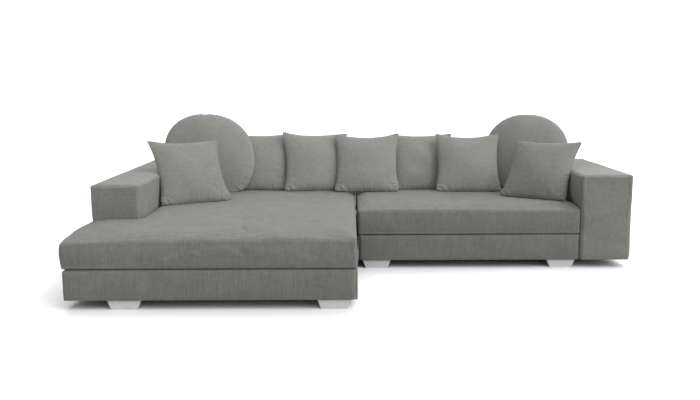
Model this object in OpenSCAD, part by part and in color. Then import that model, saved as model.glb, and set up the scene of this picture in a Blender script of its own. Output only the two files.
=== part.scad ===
// Corner lounge sofa: a chaise module on the left and a sofa module on the right, with nine loose pillows.
// Millimetres. The origin is on the floor under the middle of the whole sofa; the front faces -Y.

/* [Overall] */
// Width of the whole sofa
total_w = 3610; // [3400:10:3900]
// Depth of the chaise, which is the depth of the whole sofa
total_d = 2200; // [2100:10:2400]
// Width of the chaise module
chaise_w = 1705; // [1600:5:1800]
// Depth of the sofa module
sofa_d = 1180; // [1100:10:1300]
// Gap between the seat cushions of the two modules
module_gap = 5; // [3:1:12]

/* [Heights] */
// Height of the feet
foot_h = 57; // [40:1:90]
// Height of the base boxes
base_h = 180; // [150:5:230]
// Thickness of the seat cushions at their crown
seat_t = 204; // [160:2:240]
// Height of the arms and backs above the floor
arm_top = 652; // [630:2:720]

/* [Arms and backs] */
// Width of the left arm
left_arm_w = 298; // [220:2:350]
// How far the left arm stands in from the chaise's left side
left_arm_in = 17; // [12:1:40]
// How far the left arm starts behind the chaise's front
left_arm_back = 575; // [400:5:800]
// Width of the right arm
right_arm_w = 345; // [250:5:400]
// Thickness of the backs
back_t = 130; // [110:5:150]

/* [Upholstery] */
// Thickness of a cover with its board and wadding
cover_t = 18; // [17:1:22]
// How far the seat cushions stand proud of the bases
overhang = 10; // [6:1:12]
// Rounding of upright corners
corner_r = 28; // [20:1:34]
// Rounding of the upper edges of arms and backs
arm_edge_r = 25; // [16:1:30]
// Rounding of the bases' upper edges
base_edge_r = 16; // [5:1:17]
// Rounding of the lower edges of bases and arms
low_edge_r = 6; // [3:1:10]
// Clearance between neighbouring pieces
fit = 0.5; // [0.3:0.1:0.9]

/* [Seat cushions] */
// Rounding of the cushions' upper and lower edges
cushion_edge = 30; // [16:1:32]
// Rise of the crown over the cushions' upper edges
cushion_crown = 22; // [10:1:30]
// Width of the band in which the crown rises
crown_band = 170; // [120:5:200]
// How far the cushions' sides swell at mid height
cushion_belly = 6; // [2:1:10]
// Thickness of cloth and wadding round the foam core
wadding_t = 30; // [22:1:40]
// Share by which a cushion still draws in along the gap between the modules
gap_draw = 0.4; // [0.2:0.1:1]
// How far the chaise cushion's free front corner hangs down, as a share of the wadding
corner_droop = 0.8; // [0:0.1:0.9]
// Width of the part that hangs down with that corner
droop_w = 450; // [300:10:600]
// Depth of the part that hangs down with that corner
droop_d = 200; // [120:10:300]

/* [Timber and belts] */
// Thickness of rails and boards
rail_t = 24; // [18:1:30]
// Width of an elastic belt
belt_w = 60; // [40:5:80]
// Thickness of an elastic belt
belt_t = 3; // [2:0.5:5]
// Number of belts in each base
belt_count = 9; // [6:1:12]
// Thickness of the dust covers
dust_t = 2; // [1:0.5:4]

/* [Feet] */
// Width of a foot at its top
foot_top_w = 196; // [150:2:220]
// Width of a foot at the floor
foot_floor_w = 152; // [110:2:180]
// Depth of a foot
foot_depth = 90; // [60:5:120]
// How far the feet stand behind the base's front and back faces
foot_setback = 18; // [10:1:40]
// Middle of the feet from the inner and outer sides of a base
foot_side = 127; // [118:1:180]
// Middle of the chaise's left feet from its left side
foot_left = 348; // [180:2:400]
// Diameter of the foot and arm bolts
bolt_d = 8; // [6:1:10]
// Distance between the two bolts of a foot
bolt_pitch = 90; // [60:5:110]

/* [Square pillows] */
// Width and height of a square pillow, corner to corner
pillow_w = 500; // [450:5:520]
// Thickness of a square pillow
pillow_t = 140; // [110:2:144]
// How far a pillow's edges draw in between its corners
pillow_draw = 18; // [8:1:28]
// Lean of the back pillows, in degrees
back_lean = 29; // [26:1:32]
// Lean of the left corner pillow, in degrees
left_lean = 31; // [28:1:34]
// Turn of the left corner pillow, in degrees
left_turn = 29; // [22:1:32]
// Middle of the left corner pillow's lower edge from the left arm
left_pillow_x = 255; // [250:1:300]
// The same point behind the left arm's front
left_pillow_y = 621; // [560:1:640]
// Lean of the right corner pillow, in degrees
right_lean = 36; // [32:1:38]
// Turn of the right corner pillow, in degrees
right_turn = 34; // [28:1:36]
// Middle of the right corner pillow's lower edge from the right arm
right_pillow_x = 274; // [265:1:300]
// The same point behind the sofa module's front
right_pillow_y = 324; // [280:1:330]

/* [Round pillows] */
// Diameter of the left round pillow
round_left_d = 710; // [660:2:720]
// Diameter of the right round pillow
round_right_d = 668; // [620:2:680]
// Thickness of a round pillow
round_t = 164; // [130:2:168]
// Lean of the round pillows, in degrees
round_lean = 19; // [16:1:21]
// Turn of the right round pillow towards the middle of the sofa, in degrees
round_turn = 12; // [6:1:14]
// Middle of the left round pillow from the left arm
round_left_x = 235; // [225:1:250]
// Middle of the right round pillow from the right arm
round_right_x = 183; // [175:1:200]
// How far the left round pillow sinks into its own filling on the seat
round_left_sink = 71; // [60:1:76]
// How far the right round pillow sinks into its own filling on the seat
round_right_sink = 50; // [40:1:60]
// How far the left round pillow slumps to its upper left, as a share of its radius
round_left_slump = 0.035; // [0:0.005:0.04]
// Distance of the left round pillow's middle from the backs
round_left_ahead = 186; // [180:1:200]
// Distance of the right round pillow's middle from the backs
round_right_ahead = 90; // [88:1:110]

/* [Hidden] */

fabric = "#8f908a";
pillow_fabric = "#989993";
timber = "#c9a878";
foam = "#e8e2c8";
belt_cloth = "#4a4a48";
dust_cloth = "#242424";
silver = "#b9babb";
steel = "#8d9196";

// Levels and places, measured from the floor, the sofa's left side and the chaise's front
base_top = foot_h + base_h;
seat_top = base_top + seat_t;
left_arm_face = left_arm_in + left_arm_w;
right_arm_face = total_w - right_arm_w;
back_face = total_d - back_t;
sofa_x = chaise_w + module_gap;
sofa_y = total_d - sofa_d;

// The two base boxes, each as [left, front, width, depth]
chaise_base = [overhang, overhang, chaise_w - 2 * overhang, total_d - overhang];
sofa_base = [sofa_x + overhang, sofa_y + overhang, right_arm_face - fit - sofa_x - overhang, sofa_d - overhang];

// What is free inside a cover, on each side
inner = cover_t + fit;
frame_low = foot_h + dust_t;
frame_h = base_h - dust_t - belt_t;

// Soft pieces lie this far over what carries them
rest_gap = 0.3;
// How softly a pillow flattens on the seat and against an arm
seat_softness = 2;
round_softness = 8;
arm_softness = 4;
round_arm_softness = 28;
// Over an arm a pillow bulges out again: how far above the arm, and how far out per rise
bulge_rise = 30;
bulge_slope = 3;
round_bulge_rise = 50;
round_bulge_slope = 3;

// Back pillows from left to right: place between the two arms as a share of the way,
// distance ahead of the rearmost row, and turn in degrees
back_pillow_share = [0.209, 0.367, 0.501, 0.650, 0.769];
back_pillow_ahead = [0, 50, 105, 0, 122];
back_pillow_turn = [-2, 5, -1, 1, -3];

pillow_steps = 13;
round_rings = 6;
round_sectors = 28;
corner_steps = 4;
side_points = 3;

// Everything below is drawn from the sofa's left front corner and moved over the origin here
module placed() {
    translate([-total_w / 2, -total_d / 2, 0]) children();
}

// A rectangle with rounded corners: top_r above and bottom_r below
module round_rect(a, b, top_r, bottom_r) {
    translate([bottom_r, 0]) square([a - 2 * bottom_r, b / 2]);
    translate([top_r, b / 2]) square([a - 2 * top_r, b / 2]);
    translate([0, bottom_r]) square([a, b - top_r - bottom_r]);
    for (x = [top_r, a - top_r]) translate([x, b - top_r]) circle(top_r, $fn = 64);
    for (x = [bottom_r, a - bottom_r]) translate([x, bottom_r]) circle(bottom_r, $fn = 64);
}

// A padded box with rounded upright corners and rounded upper and lower edges
module soft_block(size, plan_r, top_r, bottom_r) {
    intersection() {
        linear_extrude(size.z) round_rect(size.x, size.y, plan_r, plan_r);
        translate([0, size.y, 0]) rotate([90, 0, 0]) linear_extrude(size.y)
            round_rect(size.x, size.z, top_r, bottom_r);
        rotate([90, 0, 90]) linear_extrude(size.x) round_rect(size.y, size.z, top_r, bottom_r);
    }
}

// Cover of an arm or a back: a padded shell that is open below
module hood(size) {
    difference() {
        soft_block(size, corner_r, arm_edge_r, low_edge_r);
        translate([cover_t, cover_t, -1])
            cube([size.x - 2 * cover_t, size.y - 2 * cover_t, size.z - cover_t + 1]);
    }
}

// Timber inside a hood: a lower and an upper board with posts between them, along the longer side
module timber_box(size, posts) {
    along_y = size.y > size.x;
    run = (along_y ? size.y : size.x) - rail_t;
    cube([size.x, size.y, rail_t]);
    translate([0, 0, size.z - rail_t]) cube([size.x, size.y, rail_t]);
    for (i = [0:posts - 1]) {
        along = run * i / (posts - 1);
        translate([along_y ? 0 : along, along_y ? along : 0, rail_t])
            cube([along_y ? size.x : rail_t, along_y ? rail_t : size.y, size.z - 2 * rail_t]);
    }
}

// Inside of a hood of the given size, and where it starts
function hood_inside(size) = size - [2 * inner, 2 * inner, inner];

// Cover of a base box: four padded walls
module base_cover(base) {
    translate([base[0], base[1], foot_h]) difference() {
        soft_block([base[2], base[3], base_h], corner_r, base_edge_r, low_edge_r);
        translate([cover_t, cover_t, -1]) cube([base[2] - 2 * cover_t, base[3] - 2 * cover_t, base_h + 2]);
    }
}

// Middles of the four feet of a base; left is the distance of the left feet from its left side
function foot_places(base, left) =
    let (
        in_y = foot_setback + foot_depth / 2,
        xs = [base[0] + left, base[0] + base[2] - foot_side],
        ys = [base[1] + in_y, base[1] + base[3] - in_y]
    )
    [for (x = xs, y = ys) [x, y]];

// Puts its children at the two bolts of every foot
module at_foot_bolts(places) {
    for (p = places, side = [-1, 1]) translate([p.x + side * bolt_pitch / 2, p.y, 0]) children();
}

bolt_reach = 25;
bolt_bore_play = 0.2;
bore_d = bolt_d + 2 * bolt_bore_play;
// Bolts are twelve-sided bars in round bores
bolt_sides = 12;
foot_bolt_low = foot_h - 0.6 * foot_h;
foot_bolt_high = frame_low + 2 * bolt_reach;

module foot_bores(places) {
    at_foot_bolts(places) translate([0, 0, foot_bolt_low - fit])
        cylinder(d = bore_d, h = foot_bolt_high - foot_bolt_low + 2 * fit, $fn = 48);
}

module foot_bolts(places) {
    at_foot_bolts(places) translate([0, 0, foot_bolt_low])
        cylinder(d = bolt_d, h = foot_bolt_high - foot_bolt_low, $fn = bolt_sides);
}

// Feet: blocks that narrow towards the floor
module feet(places) {
    difference() {
        for (p = places) translate([p.x, p.y + foot_depth / 2, 0]) rotate([90, 0, 0]) linear_extrude(foot_depth)
            polygon([
                [-foot_floor_w / 2, 0], [foot_floor_w / 2, 0],
                [foot_top_w / 2, foot_h], [-foot_top_w / 2, foot_h]
            ]);
        foot_bores(places);
    }
}

// Timber frame of a base: rim, cross rails, and corner blocks over the feet
module base_frame(base, places, cross_rails) {
    w = base[2] - 2 * inner;
    d = base[3] - 2 * inner;
    block_h = foot_bolt_high - frame_low + rail_t;
    translate([base[0] + inner, base[1] + inner, frame_low]) {
        for (y = [0, d - rail_t]) translate([0, y, 0]) cube([w, rail_t, frame_h]);
        for (x = [0, w - rail_t]) translate([x, 0, 0]) cube([rail_t, d, frame_h]);
        for (i = [1:cross_rails]) translate([0, (d - rail_t) * i / (cross_rails + 1), 0])
            cube([w, rail_t, frame_h - rail_t]);
    }
    difference() {
        for (p = places) {
            front = p.y < base[1] + base[3] / 2;
            y = front ? base[1] + inner : p.y - foot_depth / 2;
            depth = front ? p.y + foot_depth / 2 - y : base[1] + base[3] - inner - y;
            translate([p.x - foot_top_w / 2, y, frame_low]) cube([foot_top_w, depth, block_h]);
        }
        foot_bores(places);
    }
}

// Cloth under a base, with a slit over every foot for its two bolts
module dust_cover(base, places) {
    slit = [bolt_pitch + bore_d, bore_d];
    difference() {
        translate([base[0] + inner, base[1] + inner, foot_h])
            cube([base[2] - 2 * inner, base[3] - 2 * inner, dust_t]);
        for (p = places) translate([p.x - slit.x / 2, p.y - slit.y / 2, foot_h - 1])
            cube([slit.x, slit.y, dust_t + 2]);
    }
}

// Belts across the top of a base frame, spread between its two ends
module belts(base, along_x) {
    w = base[2] - 2 * inner;
    d = base[3] - 2 * inner;
    run = (along_x ? d : w) - 2 * rail_t - belt_w;
    translate([base[0] + inner, base[1] + inner, base_top - belt_t]) for (i = [0:belt_count - 1]) {
        along = rail_t + run * i / (belt_count - 1);
        if (along_x) translate([0, along, 0]) cube([w, belt_w, belt_t]);
        else translate([along, 0, 0]) cube([belt_w, d, belt_t]);
    }
}

// Seat cushions are stacks of rings. A ring is an outline drawn in by some distance.
// A corner is [x, y, inward x, inward y, first angle, 1 for an outer corner or -1 for an inner one].
// An edge that stands against an arm or a back is held, so that it draws in by less.
held = 0.15;
function outline_corner(c, by, r) =
    let (
        radius = c[5] > 0 ? max(r - by, 4) : r + by * held,
        p = [c[0] + c[2] * by, c[1] + c[3] * by],
        centre = p + c[5] * radius * [sign(c[2]), sign(c[3])]
    )
    [for (i = [0:corner_steps]) centre + radius * [
        cos(c[4] + c[5] * 90 * i / corner_steps),
        sin(c[4] + c[5] * 90 * i / corner_steps)
    ]];

function outline_ring(corners, by, r, z) =
    let (arcs = [for (c = corners) outline_corner(c, by, r)], n = len(corners))
    [for (i = [0:n - 1]) each concat(
        [for (p = arcs[i]) [p.x, p.y, z]],
        let (a = arcs[i][corner_steps], b = arcs[(i + 1) % n][0])
        [for (k = [1:side_points]) let (q = a + (b - a) * k / (side_points + 1)) [q.x, q.y, z]]
    )];

// Section of a cushion from the middle of its underside to its crown, as [distance drawn in, height]
cushion_section = concat(
    [for (a = [-90:30:0]) [cushion_belly + cushion_edge * (1 - cos(a)), cushion_edge * (1 + sin(a))]],
    [[0, seat_t / 2]],
    [for (a = [0:30:90]) [
        cushion_belly + cushion_edge * (1 - cos(a)),
        seat_t - cushion_crown - cushion_edge * (1 - sin(a))
    ]],
    [for (a = [18:24:90]) [
        cushion_belly + cushion_edge + crown_band * a / 90,
        seat_t - cushion_crown * (1 - sin(a))
    ]]
);

// A point of a cushion, lower by some depth at the part's left front corner
function drooped(p, depth) =
    [p.x, p.y, p.z - depth * (p.z - base_top) / seat_t * exp(-pow(p.x / droop_w, 2) - pow(p.y / droop_d, 2))];

// A boxed cushion over the given corners; middle is a point that sees the whole outline
module boxed_cushion(corners, middle, droop) {
    rings = [for (s = cushion_section) outline_ring(corners, s[0], corner_r, base_top + s[1])];
    n = len(rings[0]);
    m = len(rings);
    points = concat(
        [for (r = rings, p = r) drooped(p, droop)],
        [[middle.x, middle.y, base_top], [middle.x, middle.y, seat_top]]
    );
    walls = [for (j = [0:m - 2], i = [0:n - 1]) let (a = j * n + i, b = j * n + (i + 1) % n)
        each [[a, a + n, b + n], [a, b + n, b]]];
    under = [for (i = [0:n - 1]) [m * n, i, (i + 1) % n]];
    crown = [for (i = [0:n - 1]) [m * n + 1, (m - 1) * n + (i + 1) % n, (m - 1) * n + i]];
    polyhedron(points, concat(walls, under, crown), convexity = 6);
}

chaise_outline = [
    [0, 0, 1, 1, 180, 1],
    [chaise_w, 0, -gap_draw, 1, 270, 1],
    [chaise_w, back_face - fit, -gap_draw, -held, 0, 1],
    [left_arm_face + fit, back_face - fit, held, -held, 90, 1],
    [left_arm_face + fit, left_arm_back - fit, held, -held, 0, -1],
    [0, left_arm_back - fit, 1, -held, 90, 1]
];
sofa_outline = [
    [sofa_x, sofa_y, gap_draw, 1, 180, 1],
    [right_arm_face - fit, sofa_y, -held, 1, 270, 1],
    [right_arm_face - fit, back_face - fit, -held, -held, 0, 1],
    [sofa_x, back_face - fit, gap_draw, -held, 90, 1]
];

// Foam inside a cushion: the room that the wadding leaves between two corners of its plan
module core_block(low, high, play) {
    gap = wadding_t - play;
    translate([low.x + gap, low.y + gap, base_top + gap])
        cube([high.x - low.x - 2 * gap, high.y - low.y - 2 * gap, seat_t - cushion_crown - 2 * gap]);
}

module chaise_core(play) {
    core_block([0, 0], [chaise_w, left_arm_back], play);
    core_block([left_arm_face, 0], [chaise_w, back_face], play);
}

module sofa_core(play) {
    core_block([sofa_x, sofa_y], [right_arm_face, back_face], play);
}

// A height that never falls below zero and is left alone well above it
function settled(h, softness) = h > 8 * softness ? h : softness * ln(1 + exp(h / softness));

// Turns a point of a pillow, [across, up, forward], into a place on the sofa.
// place is the middle of the pillow's lower edge.
function leaning(p, place, turn, lean) = place
    + p[0] * [cos(turn), sin(turn), 0]
    + p[1] * [-sin(turn) * sin(lean), cos(turn) * sin(lean), cos(lean)]
    + p[2] * [sin(turn) * cos(lean), -cos(turn) * cos(lean), sin(lean)];

// A pillow lies flat on the seat
function on_seat(p, softness) =
    [p.x, p.y, seat_top + rest_gap + settled(p.z - seat_top - rest_gap, softness)];

// Beside an arm it is pressed in, and over the arm it bulges out again.
// press holds the softness, the rise over the arm and the bulge per rise.
square_press = [arm_softness, bulge_rise, bulge_slope];
round_press = [round_arm_softness, round_bulge_rise, round_bulge_slope];
function arm_room(z, press) = max(0, z - arm_top - press[1]) * press[2] - fit;
function by_left_arm(p, press) =
    let (limit = left_arm_face - arm_room(p.z, press)) [limit + settled(p.x - limit, press[0]), p.y, p.z];
function by_right_arm(p, press) =
    let (limit = right_arm_face + arm_room(p.z, press)) [limit - settled(limit - p.x, press[0]), p.y, p.z];

// A square pillow of two crowned faces that meet at a knife edge; s and t run from -1 to 1.
// Its upper edge draws in more than its lower one, on which the filling sits.
function square_face(s, t, side) = [
    s * (pillow_w / 2 - pillow_draw * (1 - t * t)),
    t * (pillow_w / 2 - pillow_draw * (1 + 0.75 * t) * (1 - s * s)) + pillow_w / 2,
    side * pillow_t / 2 * pow(max(0, (1 - s * s) * (1 - t * t)), 0.55) * (1 - 0.1 * t)
];

square_grid = [for (i = [0:pillow_steps]) sin(180 * i / pillow_steps - 90)];

function square_points() = concat(
    [for (i = [0:pillow_steps], j = [0:pillow_steps]) square_face(square_grid[i], square_grid[j], 1)],
    [for (i = [1:pillow_steps - 1], j = [1:pillow_steps - 1]) square_face(square_grid[i], square_grid[j], -1)]
);

function square_front(i, j) = i * (pillow_steps + 1) + j;
function square_back(i, j) = i == 0 || j == 0 || i == pillow_steps || j == pillow_steps
    ? square_front(i, j)
    : (pillow_steps + 1) * (pillow_steps + 1) + (i - 1) * (pillow_steps - 1) + j - 1;

// Each cell is cut along the diagonal that points at the nearest corner, so both faces stay apart there
function cell_cut(a, b, c, d, rising) = rising ? [[a, b, c], [a, c, d]] : [[a, b, d], [b, c, d]];

square_faces = [for (i = [0:pillow_steps - 1], j = [0:pillow_steps - 1])
    let (rising = (i < pillow_steps / 2) == (j < pillow_steps / 2))
    each concat(
        cell_cut(square_front(i, j), square_front(i, j + 1),
            square_front(i + 1, j + 1), square_front(i + 1, j), rising),
        cell_cut(square_back(i, j), square_back(i + 1, j),
            square_back(i + 1, j + 1), square_back(i, j + 1), rising)
    )
];

module square_pillow(points) {
    polyhedron(points, square_faces, convexity = 4);
}

// A round pillow with its edge seam, from its middle outwards; its outline is a little fuller than a circle
fullness = 2.2;
function outline_share(angle, slump) =
    let (full = pow(abs(cos(angle)), fullness) + pow(abs(sin(angle)), fullness))
    (1 - slump * sin(2 * angle)) * pow(full, -1 / fullness);
function round_face(d, slump, share, angle, side) =
    let (reach = d / 2 * share * outline_share(angle, slump)) [
        reach * cos(angle),
        d / 2 + reach * sin(angle),
        side * round_t / 2 * pow(max(0, 1 - share * share), 0.6)
    ];

function round_points(d, slump) = concat(
    [for (i = [1:round_rings], k = [0:round_sectors - 1])
        round_face(d, slump, sin(90 * i / round_rings), 360 * k / round_sectors, 1)],
    [for (i = [1:round_rings - 1], k = [0:round_sectors - 1])
        round_face(d, slump, sin(90 * i / round_rings), 360 * k / round_sectors, -1)],
    [round_face(d, slump, 0, 0, 1), round_face(d, slump, 0, 0, -1)]
);

round_back_start = round_rings * round_sectors;
round_middle = (2 * round_rings - 1) * round_sectors;
function round_front(i, k) = (i - 1) * round_sectors + k % round_sectors;
function round_back(i, k) = i == round_rings ? round_front(i, k) : round_back_start + round_front(i, k);

round_faces = concat(
    [for (k = [0:round_sectors - 1]) each [
        [round_middle, round_front(1, k + 1), round_front(1, k)],
        [round_middle + 1, round_back(1, k), round_back(1, k + 1)]
    ]],
    [for (i = [1:round_rings - 1], k = [0:round_sectors - 1]) each [
        [round_front(i, k), round_front(i + 1, k + 1), round_front(i + 1, k)],
        [round_front(i, k), round_front(i, k + 1), round_front(i + 1, k + 1)],
        [round_back(i, k), round_back(i + 1, k), round_back(i + 1, k + 1)],
        [round_back(i, k), round_back(i + 1, k + 1), round_back(i, k + 1)]
    ]]
);

module round_pillow(points) {
    polyhedron(points, round_faces, convexity = 4);
}

pillow_sink = 2;
pillow_low = seat_top - pillow_sink;

// The rearmost row leans on the upper edge of the backs
back_row_y = back_face - (pillow_t / 2 + rest_gap + (arm_top - pillow_low) * sin(back_lean)) / cos(back_lean);

function back_pillow_place(i) = [
    left_arm_face + back_pillow_share[i] * (right_arm_face - left_arm_face),
    back_row_y - back_pillow_ahead[i] / cos(back_lean),
    pillow_low
];

module back_pillow(i) {
    square_pillow([for (p = square_points())
        on_seat(leaning(p, back_pillow_place(i), back_pillow_turn[i], back_lean), seat_softness)]);
}

// Lower edge of a round pillow, from its place across, its turn, its distance from the backs and its sink
function round_place(x, turn, d, ahead, sink) = [
    x + sin(turn) * sin(round_lean) * d / 2,
    back_face - ahead - cos(turn) * sin(round_lean) * d / 2,
    seat_top - sink
];

module chaise_frame() {
    color(timber) placed() {
        places = foot_places(chaise_base, foot_left);
        difference() {
            union() {
                base_frame(chaise_base, places, 3);
                translate([left_arm_face - inner - rail_t, left_arm_back, frame_low])
                    cube([rail_t, total_d - inner - left_arm_back, frame_h]);
            }
            left_arm_bolts(bore_d, 48);
        }
    }
}

module chaise_belts() {
    color(belt_cloth) placed() difference() {
        belts(chaise_base, true);
        left_arm_bolts(bore_d, bolt_sides);
    }
}

module chaise_base_cover() {
    color(fabric) placed() base_cover(chaise_base);
}

module chaise_dust_cover() {
    color(dust_cloth) placed() dust_cover(chaise_base, foot_places(chaise_base, foot_left));
}

module chaise_feet() {
    color(silver) placed() feet(foot_places(chaise_base, foot_left));
}

module chaise_foot_bolts() {
    color(steel) placed() foot_bolts(foot_places(chaise_base, foot_left));
}

module chaise_seat_core() {
    color(foam) placed() chaise_core(-rest_gap);
}

module chaise_seat_cushion() {
    color(fabric) placed() difference() {
        boxed_cushion(
            chaise_outline, [(left_arm_face + chaise_w) / 2, left_arm_back / 2], corner_droop * wadding_t
        );
        chaise_core(0);
    }
}

// The backs stand on the bases between the arms
chaise_back_size = [chaise_w - left_arm_face - fit, back_t, arm_top - base_top];
sofa_back_size = [right_arm_face - sofa_x - 2 * fit, back_t, arm_top - base_top];

module chaise_back_cover() {
    color(fabric) placed() translate([left_arm_face + fit, back_face, base_top]) hood(chaise_back_size);
}

module chaise_back_frame() {
    color(timber) placed() translate([left_arm_face + fit + inner, back_face + inner, base_top])
        timber_box(hood_inside(chaise_back_size), 4);
}

left_arm_size = [left_arm_w, total_d - left_arm_back, arm_top - base_top];
right_arm_size = [right_arm_w, sofa_d, arm_top - foot_h];

module left_arm_cover() {
    color(fabric) placed() translate([left_arm_in, left_arm_back, base_top]) hood(left_arm_size);
}

module left_arm_frame() {
    color(timber) placed() difference() {
        translate([left_arm_in + inner, left_arm_back + inner, base_top])
            timber_box(hood_inside(left_arm_size), 4);
        left_arm_bolts(bore_d, 48);
    }
}

module right_arm_cover() {
    color(fabric) placed() difference() {
        translate([right_arm_face, sofa_y, foot_h]) hood(right_arm_size);
        right_arm_bolts(bore_d, bolt_sides);
    }
}

module right_arm_frame() {
    color(timber) placed() difference() {
        translate([right_arm_face + inner, sofa_y + inner, foot_h]) {
            timber_box(hood_inside(right_arm_size), 3);
            translate([0, 0, rail_t]) cube([rail_t, hood_inside(right_arm_size).y, base_h - rail_t]);
        }
        right_arm_bolts(bore_d, 48);
    }
}

// The left arm's bolts stand in both long rails of the chaise frame
arm_bolt_reach = rail_t - 2;
module left_arm_bolts(d, sides) {
    for (share = [0.15, 0.85], x = [chaise_base[0] + inner + rail_t / 2, left_arm_face - inner - rail_t / 2])
        translate([x, left_arm_back + share * left_arm_size.y, base_top - belt_t - arm_bolt_reach])
            cylinder(d = d, h = 2 * arm_bolt_reach + belt_t, $fn = sides);
}

// The right arm's bolts lie across its cover and the cover of the base
module right_arm_bolts(d, sides) {
    left = right_arm_face - inner - fit - arm_bolt_reach;
    for (share = [0.12, 0.5, 0.88]) translate([left, sofa_y + share * sofa_d, foot_h + base_h / 2])
        rotate([0, 90, 0]) cylinder(d = d, h = 2 * arm_bolt_reach + 2 * inner + fit, $fn = sides);
}

module arm_bolts() {
    color(steel) placed() {
        left_arm_bolts(bolt_d, bolt_sides);
        right_arm_bolts(bolt_d, bolt_sides);
    }
}

module sofa_frame() {
    color(timber) placed() difference() {
        base_frame(sofa_base, foot_places(sofa_base, foot_side), 1);
        right_arm_bolts(bore_d, 48);
    }
}

module sofa_belts() {
    color(belt_cloth) placed() belts(sofa_base, false);
}

module sofa_base_cover() {
    color(fabric) placed() difference() {
        base_cover(sofa_base);
        right_arm_bolts(bore_d, bolt_sides);
    }
}

module sofa_dust_cover() {
    color(dust_cloth) placed() dust_cover(sofa_base, foot_places(sofa_base, foot_side));
}

module sofa_feet() {
    color(silver) placed() feet(foot_places(sofa_base, foot_side));
}

module sofa_foot_bolts() {
    color(steel) placed() foot_bolts(foot_places(sofa_base, foot_side));
}

module sofa_seat_core() {
    color(foam) placed() sofa_core(-rest_gap);
}

module sofa_seat_cushion() {
    color(fabric) placed() difference() {
        boxed_cushion(sofa_outline, [(sofa_x + right_arm_face) / 2, (sofa_y + back_face) / 2], 0);
        sofa_core(0);
    }
}

module sofa_back_cover() {
    color(fabric) placed() translate([sofa_x, back_face, base_top]) hood(sofa_back_size);
}

module sofa_back_frame() {
    color(timber) placed() translate([sofa_x + inner, back_face + inner, base_top])
        timber_box(hood_inside(sofa_back_size), 4);
}

// Two pairs of steel plates join the bases: a hook that points down on the chaise, a catch on the sofa
plate_t = 3;
plate_w = 60;
plate_h = 90;
plate_z = foot_h + base_h / 2;
plate_y = [sofa_y + sofa_d * 0.25, sofa_y + sofa_d * 0.75];
join_left = chaise_base[0] + chaise_base[2];
join_right = sofa_base[0];
lip_h = 14;

module module_hooks() {
    color(steel) placed() for (y = plate_y) translate([join_left, y - plate_w / 2, plate_z]) {
        reach = join_right - join_left - 3 * plate_t;
        translate([0, 0, -plate_h / 2]) cube([plate_t, plate_w, plate_h]);
        translate([0, 0, lip_h]) cube([reach, plate_w, plate_t]);
        translate([reach - plate_t, 0, plate_t]) cube([plate_t, plate_w, lip_h]);
    }
}

module module_catches() {
    color(steel) placed() for (y = plate_y) translate([join_right, y - plate_w / 2, plate_z]) {
        ledge = 6 * plate_t;
        translate([-plate_t, 0, -plate_h / 2]) cube([plate_t, plate_w, plate_h]);
        translate([-ledge, 0, -plate_t - fit]) cube([ledge, plate_w, plate_t]);
        // The hook's plate rests on this lip
        translate([-ledge, 0, -plate_t - fit]) cube([plate_t, plate_w, plate_t + fit + lip_h - rest_gap]);
    }
}

module round_pillow_left() {
    place = round_place(left_arm_face + round_left_x, 0, round_left_d, round_left_ahead, round_left_sink);
    color(pillow_fabric) placed() round_pillow([for (p = round_points(round_left_d, round_left_slump))
        by_left_arm(on_seat(leaning(p, place, 0, round_lean), round_softness), round_press)]);
}

module round_pillow_right() {
    place = round_place(right_arm_face - round_right_x, -round_turn, round_right_d,
        round_right_ahead, round_right_sink);
    color(pillow_fabric) placed() round_pillow([for (p = round_points(round_right_d, 0))
        by_right_arm(on_seat(leaning(p, place, -round_turn, round_lean), round_softness), round_press)]);
}

module back_pillow_1() {
    color(pillow_fabric) placed() back_pillow(0);
}

module back_pillow_2() {
    color(pillow_fabric) placed() back_pillow(1);
}

module back_pillow_3() {
    color(pillow_fabric) placed() back_pillow(2);
}

module back_pillow_4() {
    color(pillow_fabric) placed() back_pillow(3);
}

module back_pillow_5() {
    color(pillow_fabric) placed() back_pillow(4);
}

module corner_pillow_left() {
    place = [left_arm_face + left_pillow_x, left_arm_back + left_pillow_y, pillow_low];
    color(pillow_fabric) placed() square_pillow([for (p = square_points())
        by_left_arm(on_seat(leaning(p, place, left_turn, left_lean), seat_softness), square_press)]);
}

module corner_pillow_right() {
    place = [right_arm_face - right_pillow_x, sofa_y + right_pillow_y, pillow_low];
    color(pillow_fabric) placed() square_pillow([for (p = square_points())
        by_right_arm(on_seat(leaning(p, place, -right_turn, right_lean), seat_softness), square_press)]);
}

chaise_frame();
chaise_belts();
chaise_base_cover();
chaise_dust_cover();
chaise_feet();
chaise_foot_bolts();
chaise_seat_core();
chaise_seat_cushion();
chaise_back_frame();
chaise_back_cover();
left_arm_frame();
left_arm_cover();
sofa_frame();
sofa_belts();
sofa_base_cover();
sofa_dust_cover();
sofa_feet();
sofa_foot_bolts();
sofa_seat_core();
sofa_seat_cushion();
sofa_back_frame();
sofa_back_cover();
right_arm_frame();
right_arm_cover();
arm_bolts();
module_hooks();
module_catches();
round_pillow_left();
round_pillow_right();
back_pillow_1();
back_pillow_2();
back_pillow_3();
back_pillow_4();
back_pillow_5();
corner_pillow_left();
corner_pillow_right();
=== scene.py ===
import math

import bmesh
import bpy
import numpy as np
from mathutils import Matrix, Vector
from mathutils.bvhtree import BVHTree


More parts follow.
